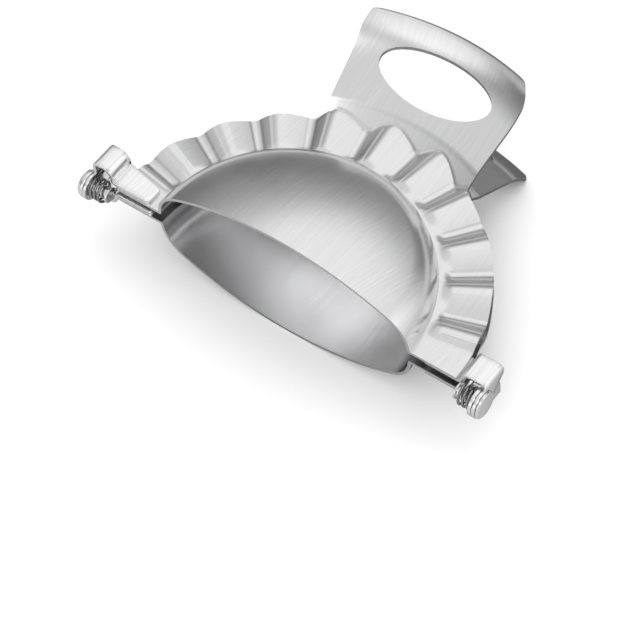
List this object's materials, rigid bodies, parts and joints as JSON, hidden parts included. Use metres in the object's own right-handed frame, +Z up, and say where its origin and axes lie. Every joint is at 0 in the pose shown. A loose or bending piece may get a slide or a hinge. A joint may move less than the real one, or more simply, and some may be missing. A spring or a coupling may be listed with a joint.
{
  "type": "hinged pastry press",
  "caption": "Hinged sheet-steel press for half-moon filled pastry: domed leaves with pleated rims and curled grips, riveted brackets and coil springs.",
  "frame": {"origin": "middle of the shut press's footprint, on the surface it lies on", "axes": "+X along the hinge line to the right rivet, +Y from the hinge towards the grips, +Z up through the upper leaf"},
  "size_m": [0.1126, 0.0754, 0.0356],
  "materials": {
    "leaf_steel": "finely brushed stainless steel",
    "bracket_steel": "polished stainless steel",
    "rivet_steel": "satin stainless steel",
    "spring_steel": "drawn spring wire"
  },
  "bodies": {
    "lower": {"lower_leaf": "leaf_steel", "lower_left_bracket": "bracket_steel", "lower_right_bracket": "bracket_steel", "left_rivet": "rivet_steel", "right_rivet": "rivet_steel", "left_spring": "spring_steel", "right_spring": "spring_steel"},
    "upper": {"upper_leaf": "leaf_steel", "upper_left_bracket": "bracket_steel", "upper_right_bracket": "bracket_steel"}
  },
  "joints": [
    {"name": "hinge", "type": "hinge", "parent": "lower", "child": "upper", "pos_m": [0, -0.03407, 0.0178], "axis": [1, 0, 0], "range_deg": [0, 180], "stiffness_Nm_per_rad": 0.0025, "springref_deg": 89.95}
  ]
}
